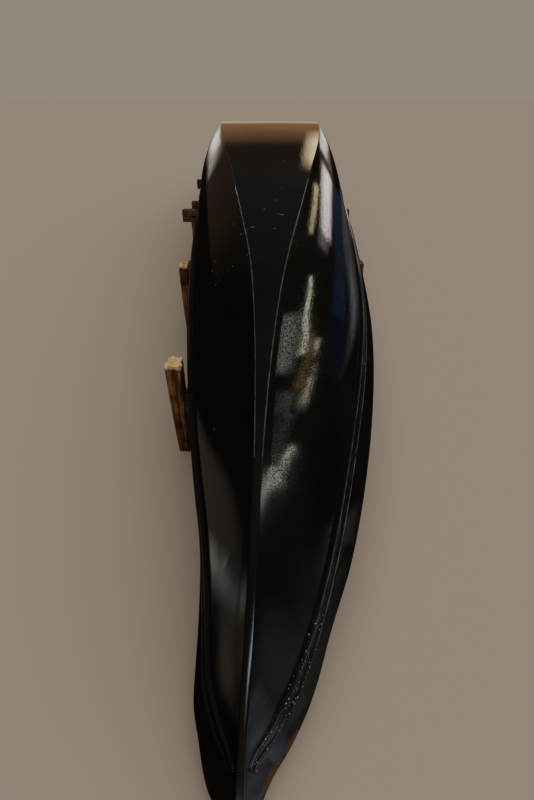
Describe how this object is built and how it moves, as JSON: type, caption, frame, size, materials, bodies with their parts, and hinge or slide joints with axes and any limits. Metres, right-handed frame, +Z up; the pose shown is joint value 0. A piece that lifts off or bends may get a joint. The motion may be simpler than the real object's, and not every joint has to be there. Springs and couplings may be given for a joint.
{
  "type": "gondola hull on trestles",
  "caption": "Long narrow flat-bottomed rowing boat lying keel up on low timber trestles, planked over frames, with decked ends and a beaded rub rail.",
  "frame": {"origin": "on the floor, under the centre of the whole part", "axes": "+X to the boat's port side, +Y along the boat from stern to stem, +Z up, away from the floor (the boat lies keel up)"},
  "size_m": [1.72, 10.8, 1.083],
  "materials": {
    "black_paint": "glossy black boat paint over planed wood, with a fine orange-peel surface",
    "oiled_wood": "planed pale wood, oiled, with open grain",
    "old_timber": "rough old timber, split and weathered, orange brown"
  },
  "bodies": {
    "root": {"bottom_aft": "black_paint", "bottom_middle": "black_paint", "bottom_fore": "black_paint", "side_plank_starboard_aft": "black_paint", "side_plank_starboard_fore": "black_paint", "sheer_strake_starboard_aft": "black_paint", "sheer_strake_starboard_fore": "black_paint", "rub_rail_starboard": "black_paint", "side_plank_port_aft": "black_paint", "side_plank_port_fore": "black_paint", "sheer_strake_port_aft": "black_paint", "sheer_strake_port_fore": "black_paint", "rub_rail_port": "black_paint", "stern_post": "black_paint", "stem_post": "black_paint", "deck_aft": "black_paint", "deck_fore": "black_paint", "inwale_starboard": "oiled_wood", "inwale_port": "oiled_wood", "frame_01": "oiled_wood", "frame_02": "oiled_wood", "frame_03": "oiled_wood", "frame_04": "oiled_wood", "frame_05": "oiled_wood", "frame_06": "oiled_wood", "frame_07": "oiled_wood", "frame_08": "oiled_wood", "frame_09": "oiled_wood", "frame_10": "oiled_wood", "frame_11": "oiled_wood", "thwart_aft": "oiled_wood", "thwart_middle": "oiled_wood", "thwart_fore": "oiled_wood", "trestle_1_prop": "old_timber", "trestle_1_beam": "old_timber", "trestle_1_sleeper": "old_timber", "trestle_1_leg": "old_timber", "trestle_2_prop": "old_timber", "trestle_2_beam": "old_timber", "trestle_2_sleeper": "old_timber", "trestle_2_leg": "old_timber", "trestle_3_beam": "old_timber", "trestle_3_leg_starboard": "old_timber", "trestle_3_leg_port": "old_timber", "trestle_4_beam": "old_timber", "trestle_4_leg_starboard": "old_timber", "trestle_4_leg_port": "old_timber", "trestle_5_beam": "old_timber", "trestle_5_leg_starboard": "old_timber", "trestle_5_leg_port": "old_timber", "trestle_6_beam": "old_timber", "trestle_6_leg_starboard": "old_timber", "trestle_6_leg_port": "old_timber", "trestle_7_beam": "old_timber", "trestle_7_leg_starboard": "old_timber", "trestle_7_leg_port": "old_timber"}
  },
  "joints": []
}
